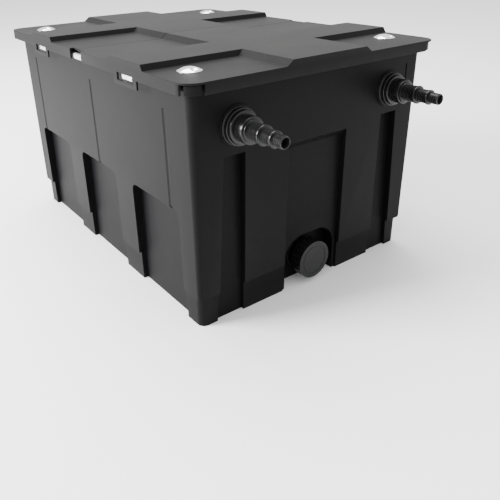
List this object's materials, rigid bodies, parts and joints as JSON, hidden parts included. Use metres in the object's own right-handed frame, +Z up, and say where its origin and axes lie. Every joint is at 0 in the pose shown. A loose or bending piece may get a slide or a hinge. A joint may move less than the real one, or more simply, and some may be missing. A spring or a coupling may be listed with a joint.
{
  "type": "multi-chamber pond filter",
  "caption": "Black box pond filter with a two-piece relief-moulded lid, quarter-turn knobs, stepped hose-tail inlets, a capped drain and filter media inside.",
  "frame": {"origin": "middle of the tank's flat underside", "axes": "+Z up, -Y towards the inlet face, +X to the right when facing the inlets"},
  "size_m": [0.585, 0.906, 0.456],
  "materials": {
    "tank_plastic": "moulded black polyethylene, fine satin grain",
    "lid_plastic": "moulded black polyethylene, dull grey bloom on top",
    "seal_rubber": "matt black rubber",
    "catch_metal": "satin zinc plate",
    "knob_chrome": "bright plating",
    "fitting_plastic": "semi-gloss black ABS",
    "inner_plastic": "dark grey polypropylene",
    "coarse_foam": "open-cell blue filter foam",
    "fine_foam": "open-cell red filter foam",
    "mat_fibre": "green curled-fibre mat",
    "ceramic_net": "net bag of pale ceramic rings",
    "ball_net": "net bag of black plastic balls"
  },
  "bodies": {
    "tank": {"tank": "tank_plastic", "rim_seal": "seal_rubber", "knob_sockets": "seal_rubber", "inlet_left_gasket": "seal_rubber", "inlet_right_gasket": "seal_rubber", "drain_gasket": "seal_rubber", "outlet_gasket": "seal_rubber", "side_catches": "catch_metal", "middle_catches": "catch_metal", "inlet_left_flange": "fitting_plastic", "inlet_right_flange": "fitting_plastic", "inlet_left_lock_nut": "fitting_plastic", "inlet_right_lock_nut": "fitting_plastic", "drain_spout": "fitting_plastic", "drain_lock_nut": "fitting_plastic", "outlet_spigot": "fitting_plastic", "outlet_lock_nut": "fitting_plastic", "front_divider": "inner_plastic", "rear_divider": "inner_plastic", "cartridge_grid": "inner_plastic", "mat_grid": "inner_plastic", "media_grid": "inner_plastic", "foam_cartridge_1": "coarse_foam", "foam_cartridge_3": "coarse_foam", "foam_cartridge_2": "fine_foam", "foam_cartridge_4": "fine_foam", "coarse_mat": "mat_fibre", "medium_mat": "mat_fibre", "fine_mat": "mat_fibre", "ceramic_bag_left": "ceramic_net", "ceramic_bag_right": "ceramic_net", "ball_bag_left": "ball_net", "ball_bag_right": "ball_net"},
    "lid_front": {"lid_front": "lid_plastic"},
    "lid_rear": {"lid_rear": "lid_plastic"},
    "drain_seal": {"drain_cap_seal": "seal_rubber"},
    "drain_cap": {"drain_cap": "fitting_plastic"},
    "knob_front_left": {"lid_knob_front_left": "knob_chrome"},
    "knob_front_right": {"lid_knob_front_right": "knob_chrome"},
    "knob_rear_left": {"lid_knob_rear_left": "knob_chrome"},
    "knob_rear_right": {"lid_knob_rear_right": "knob_chrome"},
    "collar_left": {"inlet_left_collar": "fitting_plastic"},
    "hose_tail_left": {"inlet_left_hose_tail": "fitting_plastic"},
    "collar_right": {"inlet_right_collar": "fitting_plastic"},
    "hose_tail_right": {"inlet_right_hose_tail": "fitting_plastic"}
  },
  "joints": [
    {"name": "lid_front_lift", "type": "slide", "parent": "tank", "child": "lid_front", "axis": [0, 0, 1], "range_m": [0, 0.25]},
    {"name": "lid_rear_lift", "type": "slide", "parent": "tank", "child": "lid_rear", "axis": [0, 0, 1], "range_m": [0, 0.25]},
    {"name": "knob_front_left_turn", "type": "hinge", "parent": "lid_front", "child": "knob_front_left", "pos_m": [-0.2325, -0.311, 0.446], "axis": [0, 0, 1], "range_deg": [0, 90]},
    {"name": "knob_front_right_turn", "type": "hinge", "parent": "lid_front", "child": "knob_front_right", "pos_m": [0.2325, -0.311, 0.446], "axis": [0, 0, 1], "range_deg": [0, 90]},
    {"name": "knob_rear_left_turn", "type": "hinge", "parent": "lid_rear", "child": "knob_rear_left", "pos_m": [-0.2325, 0.311, 0.446], "axis": [0, 0, 1], "range_deg": [0, 90]},
    {"name": "knob_rear_right_turn", "type": "hinge", "parent": "lid_rear", "child": "knob_rear_right", "pos_m": [0.2325, 0.311, 0.446], "axis": [0, 0, 1], "range_deg": [0, 90]},
    {"name": "drain_cap_travel", "type": "slide", "parent": "tank", "child": "drain_seal", "axis": [0, -1, 0], "range_m": [0, 0.012]},
    {"name": "drain_cap_turn", "type": "hinge", "parent": "drain_seal", "child": "drain_cap", "pos_m": [0, -0.356, 0.049], "axis": [0, -1, 0], "range_deg": [0, 1080]},
    {"name": "inlet_left_collar_turn", "type": "hinge", "parent": "tank", "child": "collar_left", "pos_m": [-0.1845, -0.399, 0.361], "axis": [0, -1, 0], "continuous": true},
    {"name": "inlet_left_tail_swivel", "type": "hinge", "parent": "tank", "child": "hose_tail_left", "pos_m": [-0.1845, -0.447, 0.361], "axis": [0, -1, 0], "continuous": true},
    {"name": "inlet_right_collar_turn", "type": "hinge", "parent": "tank", "child": "collar_right", "pos_m": [0.1845, -0.399, 0.361], "axis": [0, -1, 0], "continuous": true},
    {"name": "inlet_right_tail_swivel", "type": "hinge", "parent": "tank", "child": "hose_tail_right", "pos_m": [0.1845, -0.447, 0.361], "axis": [0, -1, 0], "continuous": true}
  ],
  "couplings": [
    {"joint": "drain_cap_travel", "follows": "drain_cap_turn", "m_per_rad": 0.00063662}
  ]
}
